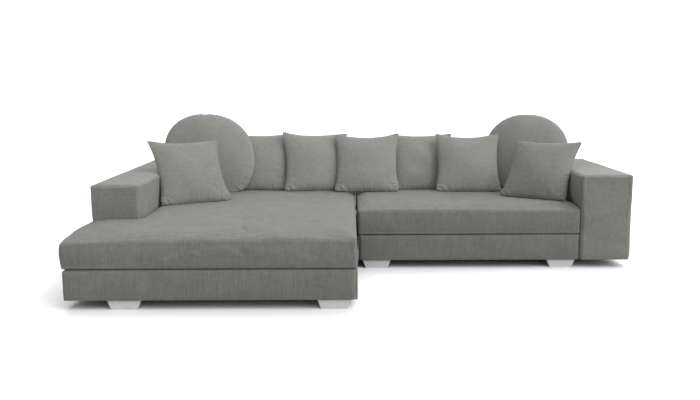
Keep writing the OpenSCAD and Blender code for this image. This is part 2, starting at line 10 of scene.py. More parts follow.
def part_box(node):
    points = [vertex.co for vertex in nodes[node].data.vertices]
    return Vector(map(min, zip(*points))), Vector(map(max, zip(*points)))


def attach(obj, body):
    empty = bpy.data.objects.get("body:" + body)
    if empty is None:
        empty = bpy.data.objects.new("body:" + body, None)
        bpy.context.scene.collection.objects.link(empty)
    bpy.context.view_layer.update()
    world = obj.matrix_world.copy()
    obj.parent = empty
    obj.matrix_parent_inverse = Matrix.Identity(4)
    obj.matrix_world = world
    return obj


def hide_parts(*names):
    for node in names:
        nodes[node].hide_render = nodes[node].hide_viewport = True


# Corner lounge sofa: cloth, filling, seams, feet, floor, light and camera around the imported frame. Metres.

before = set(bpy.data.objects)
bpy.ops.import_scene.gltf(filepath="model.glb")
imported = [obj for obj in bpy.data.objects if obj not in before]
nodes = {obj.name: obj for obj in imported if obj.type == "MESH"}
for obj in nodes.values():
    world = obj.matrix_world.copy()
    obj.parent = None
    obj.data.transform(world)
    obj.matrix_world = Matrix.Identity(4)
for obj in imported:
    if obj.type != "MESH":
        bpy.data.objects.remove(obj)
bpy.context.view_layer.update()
scene = bpy.context.scene

# Places that the soft pieces are drawn from, taken from the frame
SEAT_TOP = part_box("chaise_seat_cushion")[1].z
ARM_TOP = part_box("left_arm_cover")[1].z
LEFT_ARM_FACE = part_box("left_arm_cover")[1].x
LEFT_ARM_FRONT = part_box("left_arm_cover")[0].y
RIGHT_ARM_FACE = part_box("right_arm_cover")[0].x
SOFA_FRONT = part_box("sofa_seat_cushion")[0].y
BACK_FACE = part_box("chaise_back_cover")[0].y
chaise_left, chaise_front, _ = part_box("chaise_seat_cushion")[0]
chaise_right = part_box("chaise_seat_cushion")[1].x
sofa_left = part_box("sofa_seat_cushion")[0].x
MODULE_LINE = (chaise_right + sofa_left) / 2
REST_GAP = 0.0003
WELD = 1e-5

# A soft piece touches another one from this gap on, is free of it this much farther off,
# and takes up this share of the gap
TOUCH = 0.004
FREE_GAP = 0.030
GAP_SHARE = 0.42


# Mesh helpers

def vectors_of(mesh, kind):
    found = np.zeros(len(mesh.vertices) * 3)
    mesh.vertices.foreach_get(kind, found)
    return found.reshape(-1, 3)


def points_of(mesh):
    return vectors_of(mesh, "co")


def set_points(mesh, points):
    mesh.vertices.foreach_set("co", np.asarray(points, np.float32).ravel())
    mesh.update()


def normals_of(mesh):
    mesh.update()
    return vectors_of(mesh, "normal")


def smoothstep(low, high, values):
    t = np.clip((values - low) / (high - low), 0, 1)
    return t * t * (3 - 2 * t)


def bell(far, width):
    """1 in the middle, fading out at about twice the width."""
    return np.exp(-((far / width) ** 2))


def waves(points, pitch, seed, count=7):
    """Smooth uneven swell from -1 to 1 over points, with bumps about pitch apart."""
    rng = np.random.default_rng(seed)
    total = np.zeros(len(points))
    for _ in range(count):
        way = rng.normal(size=3)
        way /= np.linalg.norm(way)
        length = pitch * rng.uniform(0.7, 1.6)
        total += np.sin(points @ way * 2 * math.pi / length + rng.uniform(0, 2 * math.pi))
    return total / math.sqrt(count) / 1.6


def uneven(points, layers, seed):
    """The sum of some waves, each given by its height and pitch."""
    return sum(height * waves(points, pitch, seed + i) for i, (height, pitch) in enumerate(layers))


def grid_faces(rows, columns):
    """Faces between the points of a grid that is columns faces wide."""
    faces = []
    for i in range(rows):
        for j in range(columns):
            a = i * (columns + 1) + j
            b = a + columns + 1
            faces.append((a, a + 1, b + 1, b))
    return faces


def placed(name, data):
    obj = bpy.data.objects.new(name, data)
    scene.collection.objects.link(obj)
    return obj


def new_object(name, verts, faces):
    mesh = bpy.data.meshes.new(name)
    mesh.from_pydata([tuple(v) for v in verts], [], [tuple(f) for f in faces])
    mesh.update()
    return placed(name, mesh)


def with_modifier(obj, kind, **values):
    """Puts the result of a modifier into obj's mesh."""
    modifier = obj.modifiers.new(kind.lower(), kind)
    for name, value in values.items():
        setattr(modifier, name, value)
    graph = bpy.context.evaluated_depsgraph_get()
    made = bpy.data.meshes.new_from_object(obj.evaluated_get(graph))
    obj.modifiers.clear()
    old, obj.data = obj.data, made
    bpy.data.meshes.remove(old)
    obj.data.name = obj.name


def smooth_shaded(obj, angle=None):
    obj.data.shade_smooth()
    if angle is not None:
        obj.data.set_sharp_from_angle(angle=math.radians(angle))


def mark(mesh, **values):
    """Keeps a number for each point, which subdivision carries on to the new points."""
    for name, numbers in values.items():
        kept = mesh.attributes.new(name, "FLOAT", "POINT")
        kept.data.foreach_set("value", np.asarray(numbers, np.float32))


def marked(mesh, *names):
    """Takes the kept numbers back."""
    found = []
    for name in names:
        numbers = np.zeros(len(mesh.vertices), np.float32)
        mesh.attributes[name].data.foreach_get("value", numbers)
        mesh.attributes.remove(mesh.attributes[name])
        found.append(numbers.astype(float))
    return found


# The room that soft pieces have

def faces_of(node):
    mesh = nodes[node].data
    return points_of(mesh), [tuple(p.vertices) for p in mesh.polygons]


CAD_FACES = {name: faces_of(name) for name in nodes}


def tree_of(names):
    verts, faces, start = [], [], 0
    for name in names:
        points, polygons = CAD_FACES[name]
        verts += [tuple(p) for p in points]
        faces += [tuple(i + start for i in f) for f in polygons]
        start += len(points)
    return BVHTree.FromPolygons(verts, faces)


def skin_of(node):
    """The outer skin of a CAD solid, without the walls of a hollow inside it."""
    points, polygons = CAD_FACES[node]
    bm = bmesh.new()
    verts = [bm.verts.new(p) for p in points]
    for polygon in polygons:
        bm.faces.new([verts[i] for i in polygon])
    bmesh.ops.remove_doubles(bm, verts=bm.verts, dist=WELD)
    left = set(bm.faces)
    skins = []
    while left:
        open_faces, skin = [left.pop()], []
        while open_faces:
            face = open_faces.pop()
            skin.append(face)
            beside = {other for edge in face.edges for other in edge.link_faces} & left
            left -= beside
            open_faces += beside
        skins.append(skin)
    outer = set(max(skins, key=lambda skin: sum(face.calc_area() for face in skin)))
    bmesh.ops.delete(bm, geom=[face for face in bm.faces if face not in outer], context="FACES")
    tree = BVHTree.FromBMesh(bm)
    bm.free()
    return tree


def settle(mesh, node, swell, slack, loose_below=-1.0, reach=0.06):
    """Keeps a soft piece about where its CAD solid is: at most swell outside it and slack inside it,
    less where another piece is near, and on it where they touch, apart from a lower edge left loose."""
    form = skin_of(node)
    others = tree_of([n for n in nodes if n != node])
    points = points_of(mesh)
    for i, p in enumerate(points):
        place, normal, _, _ = form.find_nearest(p)
        off = (Vector(p) - place).dot(normal)
        found = others.find_nearest(place, reach)
        gap = found[3] if found[3] is not None else reach
        free = 2.0 if p[2] < loose_below else min(1.0, max(0.0, (gap - TOUCH) / FREE_GAP))
        high = min(swell, GAP_SHARE * gap - 0.0001)
        kept = min(max(off, -slack * free - 0.0004), high)
        if kept != off:
            points[i] = Vector(p) + normal * (kept - off)
    set_points(mesh, points)


# Filling: cloth blown up a little, all pieces in one run

STEPS = 20
filled = []


def fill(obj, pressure, growth, cap, pinned):
    """Notes a piece that its filling blows up: pressure, growth of the cloth, how far a point may move,
    and which points stay where they are sewn."""
    filled.append((obj, points_of(obj.data), cap))
    cloth = obj.modifiers.new("filling", "CLOTH")
    values = cloth.settings
    values.quality = 6
    values.mass = 0.3
    values.tension_stiffness = values.compression_stiffness = 15
    values.shear_stiffness = 6
    values.bending_stiffness = 0.5
    values.use_pressure = True
    values.uniform_pressure_force = pressure
    values.shrink_min = -growth
    values.effector_weights.gravity = 0
    cloth.collision_settings.use_collision = False
    cloth.point_cache.frame_start = 1
    cloth.point_cache.frame_end = STEPS
    group = obj.vertex_groups.new(name="sewn")
    group.add([int(i) for i in pinned], 1.0, "REPLACE")
    values.vertex_group_mass = "sewn"


def blow_up():
    """Runs the cloth of every filled piece, and takes its shape with its movement capped."""
    for step in range(1, STEPS + 1):
        scene.frame_set(step)
    graph = bpy.context.evaluated_depsgraph_get()
    for obj, start, cap in filled:
        made = obj.evaluated_get(graph).to_mesh()
        moved = points_of(made) - start
        obj.evaluated_get(graph).to_mesh_clear()
        far = np.linalg.norm(moved, axis=1, keepdims=True)
        obj.modifiers.clear()
        obj.vertex_groups.clear()
        set_points(obj.data, start + moved * np.minimum(1, cap / np.maximum(far, 1e-9)))
    scene.frame_set(1)


# Square pillows

PILLOW_W = 0.500
PILLOW_T = 0.140
PILLOW_DRAW = 0.018
PILLOW_SINK = 0.002
PILLOW_FILLING = (4, 0.010, 0.005)
EAR_POWER = 7
FOLD_HEIGHT = 0.0024
LOW_CORNERS_AHEAD = 0.016
PILLOW_CROWN = 0.52
PILLOW_WAVES = [(0.006, 0.24)]
PILLOW_THINNER = 0.002
PILLOW_SWELL = 0.024
PILLOW_SLACK = 0.010
CELLS = 40
# Rolls round a lower corner: distance from it and height of each
CORNER_ROLLS = ((0.028, 0.010), (0.050, -0.005), (0.072, 0.007), (0.096, -0.004), (0.118, 0.003))
ROLL_WIDTH = 0.013
ROLL_REACH = 0.045


def leaning(p, place, turn, lean):
    """Turns points of a pillow, (across, up, forward), into places on the sofa."""
    t, l = math.radians(turn), math.radians(lean)
    ways = np.array([
        [math.cos(t), math.sin(t), 0],
        [-math.sin(t) * math.sin(l), math.cos(t) * math.sin(l), math.cos(l)],
        [math.sin(t) * math.cos(l), -math.cos(t) * math.cos(l), math.sin(l)],
    ])
    return np.asarray(place) + p @ ways


def settled(h, softness):
    return np.where(h > 8 * softness, h, softness * np.log1p(np.exp(np.minimum(h / softness, 50))))


def on_seat(p, softness):
    p[:, 2] = SEAT_TOP + REST_GAP + settled(p[:, 2] - SEAT_TOP - REST_GAP, softness)
    return p


def pleats(along, seed, pitch):
    """How deep the small folds beside a seam are at each place along it, from 0 to 1."""
    rng = np.random.default_rng(seed)
    deep = np.zeros_like(along)
    for place in np.arange(along.min(), along.max(), pitch):
        middle = place + rng.uniform(-0.4, 0.4) * pitch
        width = pitch * rng.uniform(0.14, 0.30)
        deep = np.maximum(deep, rng.uniform(0.15, 1.0) * bell(along - middle, width))
    return deep


def corner_folds(s, t, seed, height):
    """Folds that fan out from the four corners of a square face, each corner with its own."""
    rng = np.random.default_rng(seed)
    total = np.zeros_like(s)
    for side in (-1, 1):
        for end in (-1, 1):
            across, up = (1 - side * s), (1 - end * t)
            far = np.hypot(across, up)
            angle = np.arctan2(up, across)
            fan = np.sin(angle * rng.uniform(7, 11) + rng.uniform(0, 6.28))
            fan += 0.6 * np.sin(angle * rng.uniform(13, 19) + rng.uniform(0, 6.28))
            share = far / 0.28
            total += rng.uniform(0.5, 1.0) * fan * smoothstep(0, 0.1, far) * (share * np.exp(1 - share)) ** 2
    return height * total / 1.4


def eased(count, ease=0.55):
    """Places from -1 to 1, closer together towards the ends."""
    even = np.linspace(-1, 1, count + 1)
    return ease * np.sin(even * math.pi / 2) + (1 - ease) * even


def blunt(s, t, power=22):
    """How far a corner is rounded off, as a share of the way from the middle."""
    far = np.maximum(np.abs(s), np.abs(t))
    return far / np.maximum((np.abs(s) ** power + np.abs(t) ** power) ** (1 / power), 1e-9)


def sewn_pillow(body, verts, faces, across, up, seam):
    """Makes the object that stands for a body's pillow, and notes its filling."""
    kind, which = body.split("_")
    node = f"{kind}_pillow_{which}"
    obj = new_object(f"pillow_{body}", verts, faces)
    mark(obj.data, across=across, up=up)
    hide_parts(node)
    fill(obj, *PILLOW_FILLING, seam)
    return body, obj, node, seam


def square_pillow(body, place, turn, lean, arch, left_ear, right_ear, low_out, seed):
    """Two crowned faces sewn together along the edge, with ears at the corners."""
    n = CELLS
    grid = eased(n)
    s, t = np.meshgrid(grid, grid, indexing="ij")
    s, t = s.ravel(), t.ravel()
    rim = np.maximum(np.abs(s), np.abs(t)) > 0.99999
    half = PILLOW_W / 2

    def near(side, end):
        return ((1 + side * s) * (1 + end * t) / 4) ** EAR_POWER

    def face(side):
        draw_up = np.where(t > 0, PILLOW_DRAW + (arch - PILLOW_DRAW) * t, PILLOW_DRAW * (1 + 0.75 * t))
        across = s * (half - PILLOW_DRAW * (1 - t * t))
        across = across - left_ear[0] * near(-1, 1) + right_ear[0] * near(1, 1)
        across += low_out * (near(1, -1) - 0.6 * near(-1, -1))
        up = t * (half - draw_up * (1 - s * s)) + left_ear[1] * near(-1, 1) + right_ear[1] * near(1, 1)
        flat = np.column_stack([across, up]) * blunt(s, t)[:, None] + [0, half]
        loft = ((1 - s * s) * (1 - t * t)).clip(0)
        thick = PILLOW_T / 2 * loft ** PILLOW_CROWN * (1 - 0.15 * t)
        thick += corner_folds(s, t, seed * 30 + side, FOLD_HEIGHT) * np.sqrt(loft)
        bumps = uneven(np.column_stack([flat, 0 * s]), PILLOW_WAVES, seed * 20 + side)
        thick += (bumps - PILLOW_THINNER) * np.sqrt(loft)
        low = near(-1, -1) + near(1, -1)
        for end in (-1, 1):
            far = np.hypot(1 - end * s, 1.6 * (1 + t)) * half
            low_down = bell((1 + t) * half, ROLL_REACH)
            for middle, height in CORNER_ROLLS:
                thick += height * bell(far - middle, ROLL_WIDTH) * (loft > 0) * low_down
        return np.column_stack([flat, side * thick + LOW_CORNERS_AHEAD * low])

    front, back = face(1), face(-1)
    inner = np.flatnonzero(~rim)
    back_index = np.arange((n + 1) ** 2)
    back_index[inner] = (n + 1) ** 2 + np.arange(len(inner))
    verts = np.vstack([front, back[inner]])
    faces = []
    for a, b, c, d in grid_faces(n, n):
        faces += [(a, b, c, d), tuple(back_index[k] for k in (a, d, c, b))]
    verts = on_seat(leaning(verts, place, turn, lean), 0.002)
    across, up = np.append(s, s[inner]), np.append(t, t[inner])
    return sewn_pillow(body, verts, faces, across, up, np.flatnonzero(rim))


BACK_LEAN = 29


def back_place(share, ahead):
    """Middle of the lower edge of a back pillow that leans on the backs, or stands ahead of them."""
    lean = math.radians(BACK_LEAN)
    low = SEAT_TOP - PILLOW_SINK
    row = BACK_FACE - (PILLOW_T / 2 + REST_GAP + (ARM_TOP - low) * math.sin(lean)) / math.cos(lean)
    return (LEFT_ARM_FACE + share * (RIGHT_ARM_FACE - LEFT_ARM_FACE), row - ahead / math.cos(lean), low)


SQUARE_PILLOWS = [
    # body, middle of the lower edge, turn, lean,
    # how far the upper edge is drawn in, upper ears left and right (out, up), lower ears out
    ("back_1", back_place(0.209, 0), -2, BACK_LEAN, 0.020, (0, 0), (0.004, 0.004), 0),
    ("back_2", back_place(0.367, 0.050), 5, BACK_LEAN, 0.016, (0.014, 0.030), (0.022, 0.006), 0.010),
    ("back_3", back_place(0.501, 0.105), -1, BACK_LEAN, 0.031, (0.008, 0.002), (0.014, 0.015), 0.010),
    ("back_4", back_place(0.650, 0), 1, BACK_LEAN, 0.029, (0, -0.010), (0.022, -0.003), 0),
    ("back_5", back_place(0.769, 0.122), -3, BACK_LEAN, 0.033, (0.000, 0.010), (0.010, 0.012), 0.010),
    ("corner_left", (LEFT_ARM_FACE + 0.255, LEFT_ARM_FRONT + 0.621, SEAT_TOP - PILLOW_SINK), 29, 31,
     0.018, (0.026, 0.022), (0.014, 0.006), 0.030),
    ("corner_right", (RIGHT_ARM_FACE - 0.274, SOFA_FRONT + 0.324, SEAT_TOP - PILLOW_SINK), -34, 36,
     0.016, (0.010, -0.010), (0.016, 0.010), 0.012),
]


# Round pillows

ROUND_T = 0.164
ROUND_LEAN = 19
ROUND_CROWN = 0.56
ROUND_POWER = 2.2
ROUND_WAVES = [(0.008, 0.34)]
ROUND_THINNER = 0.003
ROUND_SWELL = 0.016
NOTCH_WIDTH = 3.5
BULGE_WIDTH = 26
SPILL_HEIGHT = 0.050
RINGS = 24
SECTORS = 120


def outline_share(angle, slump):
    """Distance of the rim from the middle: a circle a little squared, and slumped to one side."""
    full = np.abs(np.cos(angle)) ** ROUND_POWER + np.abs(np.sin(angle)) ** ROUND_POWER
    return (1 - slump * np.sin(2 * angle)) * full ** (-1 / ROUND_POWER)


def round_pillow(body, x, turn, d, ahead, sink, slump, notch, bulge, seed):
    """Two crowned faces sewn together along a round rim, pressed flat by the seat and the arm."""
    share = eased(2 * RINGS)[RINGS + 1:]
    angle = 2 * math.pi * np.arange(SECTORS) / SECTORS
    rho, theta = [g.ravel() for g in np.meshgrid(share, angle, indexing="ij")]
    nick = 1 - notch[1] * bell(np.degrees(theta) - notch[0], NOTCH_WIDTH) * rho ** 3
    nick += bulge[1] * bell(np.degrees(theta) - bulge[0], BULGE_WIDTH) * rho ** 2

    def face(side):
        reach = d / 2 * rho * outline_share(theta, slump) * nick
        flat = np.column_stack([reach * np.cos(theta), d / 2 + reach * np.sin(theta)])
        loft = (1 - rho * rho).clip(0)
        thick = ROUND_T / 2 * loft ** ROUND_CROWN
        bumps = uneven(np.column_stack([flat, 0 * rho]), ROUND_WAVES, seed * 20 + side)
        thick += (bumps - ROUND_THINNER) * np.sqrt(loft)
        return np.column_stack([flat, side * thick])

    front, back = face(1), face(-1)
    ring = np.arange(RINGS * SECTORS).reshape(RINGS, SECTORS)
    back_ring = ring.copy()
    back_ring[:-1] += RINGS * SECTORS
    inner = (RINGS - 1) * SECTORS
    middle = [[0, d / 2, ROUND_T / 2 - 0.003], [0, d / 2, -ROUND_T / 2 + 0.003]]
    verts = np.vstack([front, back[:inner], middle])
    centre = len(verts) - 2
    faces = []
    for k in range(SECTORS):
        m = (k + 1) % SECTORS
        faces += [(centre, ring[0, m], ring[0, k]), (centre + 1, back_ring[0, k], back_ring[0, m])]
        for i in range(RINGS - 1):
            faces.append((ring[i, k], ring[i, m], ring[i + 1, m], ring[i + 1, k]))
            faces.append((back_ring[i, k], back_ring[i + 1, k], back_ring[i + 1, m], back_ring[i, m]))
    lean, t = math.radians(ROUND_LEAN), math.radians(turn)
    place = (x + math.sin(t) * math.sin(lean) * d / 2,
             BACK_FACE - ahead - math.cos(t) * math.sin(lean) * d / 2, SEAT_TOP - sink)
    verts = on_seat(leaning(verts, place, turn, ROUND_LEAN), 0.008)
    for sign, arm in ((1, LEFT_ARM_FACE), (-1, RIGHT_ARM_FACE)):
        out = np.maximum(0, verts[:, 2] - ARM_TOP - SPILL_HEIGHT) * 3 - 0.0005
        limit = sign * arm - out
        over = sign * verts[:, 0] - limit
        if (over < 0.2).any():
            verts[:, 0] = sign * (limit + settled(over, 0.028))
    across, up = [np.concatenate([g, g[:inner], [0, 0]]) for g in rho * [np.cos(theta), np.sin(theta)]]
    return sewn_pillow(body, verts, faces, across, up, ring[-1])


ROUND_PILLOWS = [
    # body, x, turn, diameter, distance from the backs, sink, slump,
    # notch in the upper edge (angle, depth), bulge (angle, height)
    ("round_left", LEFT_ARM_FACE + 0.235, 0, 0.710, 0.186, 0.071, 0.044, (97, 0.016), (143, 0.034)),
    ("round_right", RIGHT_ARM_FACE - 0.183, -12, 0.668, 0.090, 0.050, 0, (88, 0.010), (95, 0.010)),
]


# Seat cushions

SEAT_T = SEAT_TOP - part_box("chaise_seat_cushion")[0].z
SEAT_EDGE = 0.030
SEAT_CROWN = 0.022
CROWN_BAND = 0.170
SEAT_BELLY = 0.006
SEAT_CORNER = 0.028
# How much a cushion is still drawn in where a neighbour holds it, and along the gap
HELD = 0.15
GAP_DRAW = 0.4
CORNER_DROOP = 0.024
DROOP_SPAN = np.array([0.450, 0.200])
BOW_OUT = 0.021
BOW_UP = 0.006
BOW_REACH = 0.16
LOW_LIFT = 0.005
LOW_EDGE = (0.013, 0.016)
SEAM_DEPTH = 0.0014
SEAT_PITCH = 0.028
TOP_WAVES = [(0.0028, 0.36), (0.0008, 0.11)]
TOP_SUNK = 0.001
SIDE_WAVES = [(0.0012, 0.30), (0.0005, 0.07)]
SEAM_LOW = 0.013
SEAM_HIGH = SEAT_T - 0.036
SEAM_REACH = 0.012
FOLD_DEPTH = 0.0016
FOLD_PITCH = 0.050
SEAT_SWELL = 0.004
SEAT_SLACK = 0.006
LOOSE_EDGE = 0.045
SEAT_FILLING = (2, 0.004, 0.004)
PLAY = 0.0005


def edge_rows(angles, seam, wide, high, level):
    """Rows round an edge of the section, one of them a seam."""
    turns = [math.radians(a) for a in angles]
    return [(SEAT_BELLY + wide * (1 - math.cos(t)), level + high * math.sin(t), SEAM_DEPTH * (a == seam))
            for a, t in zip(angles, turns)]


def seat_section():
    """From the underside to the crown: distance drawn in, height, depth of the seam there."""
    rows = [(0.030, 0, 0), (0.0295, 0.4 * LOW_LIFT, 0), (0.028, 0.85 * LOW_LIFT, 0)]
    low, high = LOW_LIFT + LOW_EDGE[1], SEAT_T - SEAT_CROWN - SEAT_EDGE
    rows += edge_rows((-90, -75, -60, -48, -40, -35, -30, -20, -10), -35, *LOW_EDGE, low)
    for k in range(13):
        rows.append((SEAT_BELLY * (k / 6 - 1) ** 2, low + (high - low) * k / 12, 0))
    rows += edge_rows((10, 20, 27, 33, 39, 48, 60, 75, 90), 33, SEAT_EDGE, SEAT_EDGE, high)
    for a in range(9, 91, 9):
        rise = SEAT_CROWN * math.sin(math.radians(a))
        rows.append((SEAT_BELLY + SEAT_EDGE + CROWN_BAND * a / 90, SEAT_T - SEAT_CROWN + rise, 0))
    return rows


def drooped(points, low, droop):
    """Lets the left front corner of the chaise cushion hang down by some depth."""
    near = np.exp(-(((points[:, :2] - [chaise_left, chaise_front]) / DROOP_SPAN) ** 2).sum(axis=1))
    points[:, 2] -= droop * (points[:, 2] - low) / SEAT_T * near
    return points


def bowed(points, low):
    """The chaise cushion's free left side stands out a little between its front corner and the arm."""
    along = (points[:, 1] - chaise_front) / (LEFT_ARM_FRONT - chaise_front)
    share = smoothstep(0.0, 0.6, (points[:, 2] - low) / SEAT_T)
    near = bell(points[:, 0] - chaise_left, BOW_REACH) * share
    plateau = 0.28 + 0.72 * smoothstep(0.0, 0.25, along) - 0.65 * smoothstep(0.45, 1.0, along)
    points[:, 0] -= BOW_OUT * near * plateau * (along < 1.05)
    points[:, 2] += BOW_UP * near * smoothstep(0.3, 1.0, along) * (along < 1.05)
    return points


def seat_ring(corners, by, counts):
    """The outline of a cushion drawn in by some distance, all round."""
    arcs = []
    for x, y, in_x, in_y, first, turn in corners:
        radius = max(SEAT_CORNER - by, 0.004) if turn > 0 else SEAT_CORNER + by * HELD
        middle = np.array([x + in_x * by + turn * radius * np.sign(in_x),
                           y + in_y * by + turn * radius * np.sign(in_y)])
        angle = np.radians(first + turn * 90 * np.linspace(0, 1, 9))
        arcs.append(middle + radius * np.column_stack([np.cos(angle), np.sin(angle)]))
    parts = []
    for i, arc in enumerate(arcs):
        a, b = arc[-1], arcs[(i + 1) % len(arcs)][0]
        share = np.arange(1, counts[i] + 1)[:, None] / (counts[i] + 1)
        parts += [arc, a + (b - a) * share]
    return np.vstack(parts)


def finer(grid):
    """Twice as many points each way, on smooth curves through rings that close round."""
    before, after, next_after = np.roll(grid, 1, 1), np.roll(grid, -1, 1), np.roll(grid, -2, 1)
    wide = np.empty((grid.shape[0], 2 * grid.shape[1], 3))
    wide[:, 0::2] = grid
    wide[:, 1::2] = (9 * (grid + after) - before - next_after) / 16
    padded = np.concatenate([wide[:1], wide, wide[-1:]])
    tall = np.empty((2 * len(wide) - 1, wide.shape[1], 3))
    tall[0::2] = wide
    tall[1::2] = (9 * (padded[1:-2] + padded[2:-1]) - padded[:-3] - padded[3:]) / 16
    return tall


def ring_faces(m, n):
    """Faces over m closed rings of n points, then a fan at each end; the two middles come last."""
    faces = [(m * n, (i + 1) % n, i) for i in range(n)]
    faces += [(m * n + 1, (m - 1) * n + i, (m - 1) * n + (i + 1) % n) for i in range(n)]
    for j in range(m - 1):
        for i in range(n):
            k = (i + 1) % n
            faces.append((j * n + i, j * n + k, (j + 1) * n + k, (j + 1) * n + i))
    return faces


def seat_cushion(name, node, corners, middle, droop, seed):
    """A boxed cushion: rings up the section, then rings that close in over the crown."""
    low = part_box(node)[0].z
    places = np.array([c[:2] for c in corners])
    lengths = np.linalg.norm(np.roll(places, -1, axis=0) - places, axis=1)
    counts = [int(length / SEAT_PITCH) for length in lengths]
    section = seat_section()
    rings = [np.column_stack([r := seat_ring(corners, by, counts), np.full(len(r), low + z)])
             for by, z, _ in section]
    depth = [seam for _, _, seam in section]
    under, top = rings[0], rings[-1]
    for u in np.linspace(0, 1, 24)[1:-1]:
        rings.append(top + ([*middle, SEAT_TOP] - top) * u)
        depth.append(0)
    for u in (0.05, 0.3, 0.65):
        rings.insert(0, under + ([*middle, low] - under) * u)
        depth.insert(0, 0)
    m, n = len(rings), len(rings[0])
    verts = drooped(np.vstack(rings + [[[*middle, low]], [[*middle, SEAT_TOP]]]), low, droop)
    obj = new_object(name, verts, ring_faces(m, n))
    along = np.concatenate([[0], np.cumsum(np.linalg.norm(np.diff(rings[8][:, :2], axis=0), axis=1))])
    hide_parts(node)
    still = np.flatnonzero((verts[:, 2] < low + 0.012) | (np.arange(len(verts)) >= (m - 3) * n))
    fill(obj, *SEAT_FILLING, still)
    depth = np.repeat(depth + [0, 0], [n] * m + [1, 1])
    return obj, node, depth, np.append(np.tile(along, m), [0, 0]), (m, n), seed


# Covers of bases, arms and backs

COVER_PITCH = 0.030
GAP_REACH = 0.015
GAP_SWELL = 0.7
BASE_SWELL = (0.004, 0.004, 0.004)
BASE_ROLL = (0.028, 0.018)
BACK_SWELL = (0.005, 0.005, 0.006)
ARM_CORNER = 0.027
COVER_WAVES = [(0.0012, 0.13), (0.0020, 0.45)]
PUFF_REACH = 0.05
EDGE_DRAW = 0.0014
EDGE_REACH = 0.02
LEAST_SWELL = 0.007
SPARE_SWELL = 0.003
COVER_SLACK = 0.004
COVER_ANGLE = 50
CRISP_ANGLE = 34


def cut_across(bm, axis, places):
    """Cuts the faces where they cross planes, so that points can move there."""
    way = Vector([float(axis == k) for k in range(3)])
    for place in places:
        bmesh.ops.bisect_plane(bm, geom=bm.verts[:] + bm.edges[:] + bm.faces[:], dist=1e-6,
                               plane_co=way * place, plane_no=way)


def cut_fine(bm, low, high):
    for axis in range(3):
        span = high[axis] - low[axis]
        steps = max(1, round(span / COVER_PITCH))
        cut_across(bm, axis, [low[axis] + span * i / steps for i in range(1, steps)])


def rolled(points, low, high, roll):
    """Rounds off the free upper edges of a base cover, left and front, more than its CAD shell has them."""
    for axis, radius in enumerate(roll):
        if axis == 1 or low[0] < LEFT_ARM_FACE:
            wall = low[axis]
            inward = points[:, axis] - wall
            down = high[2] - points[:, 2]
            a, b = radius - inward, radius - down
            far = np.hypot(a, b)
            edge = (a > 0) & (b > 0) & (far > radius) & (inward < 0.0175)
            points[edge, axis] = wall + (radius - a * radius / np.maximum(far, 1e-9))[edge]
            points[edge, 2] = high[2] - (radius - b * radius / np.maximum(far, 1e-9))[edge]
    return points


def squared(points, low, high, radius, power=6):
    """Makes the upright edges of a cover crisper than its CAD shell has them, above the seat."""
    low, high = np.array(low), np.array(high)
    middle, half = (low + high) / 2, (high - low) / 2
    from_middle = (points - middle)[:, :2]
    share = 1 - (half[:2] - np.abs(from_middle)) / radius
    round_share = np.hypot(*share.T)
    square_share = (np.abs(share) ** power).sum(axis=1) ** (1 / power)
    above = smoothstep(SEAT_TOP - 0.02, SEAT_TOP + 0.02, points[:, 2])
    grown = 1 + (round_share / np.maximum(square_share, 1e-9) - 1) * above
    moved = middle[:2] + np.sign(from_middle) * (half[:2] - radius * (1 - share * grown[:, None]))
    corner = (share > 0).all(axis=1) & (round_share > 0.5)
    points[corner, :2] = moved[corner]
    return points


def cover(name, node, swell, seed, roll, crisp):
    """A padded cover: the CAD shell, cut fine and swelled where the wadding is thick.
    swell is for faces across x, y and z, roll for the free edges of a base, crisp for those of an arm."""
    low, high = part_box(node)
    points, polygons = CAD_FACES[node]
    obj = new_object(name, points, polygons)
    bm = bmesh.new()
    bm.from_mesh(obj.data)
    bmesh.ops.remove_doubles(bm, verts=bm.verts, dist=WELD)
    cut_fine(bm, low, high)
    if roll:
        cut_across(bm, 2, [high.z - max(roll) * k for k in (0.25, 0.5, 0.75)])
    bm.to_mesh(obj.data)
    bm.free()
    points, normals = points_of(obj.data), normals_of(obj.data)
    sides = np.minimum(points - np.array(low), np.array(high) - points)
    sides[:, 2] = high[2] - points[:, 2]
    edge = np.sort(np.column_stack([sides, points[:, 2] - low[2]]), axis=1)[:, 1]
    outer = smoothstep(0.017, 0.012, sides.min(axis=1)) * (normals[:, 2] > -0.5)
    puffed = np.abs(normals) @ swell * (1 - np.exp(-edge / PUFF_REACH))
    puffed -= EDGE_DRAW * np.exp(-edge / EDGE_REACH)
    moved = puffed + uneven(points, COVER_WAVES, seed) * smoothstep(-0.02, 0.05, edge)
    to_gap = np.abs(points[:, 0] - MODULE_LINE)
    at_gap = (to_gap < GAP_REACH) & (np.abs(normals[:, 0]) > 0.7)
    moved[at_gap] = GAP_SWELL * to_gap[at_gap]
    set_points(obj.data, points + normals * (outer * moved)[:, None])
    settle(obj.data, node, max(LEAST_SWELL, *swell) + SPARE_SWELL, COVER_SLACK)
    if roll:
        set_points(obj.data, rolled(points_of(obj.data), low, high, roll))
    if crisp:
        set_points(obj.data, squared(points_of(obj.data), low, high, crisp))
    smooth_shaded(obj, CRISP_ANGLE if crisp else COVER_ANGLE)
    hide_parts(node)
    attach(obj, "sofa")
    return obj


# Materials

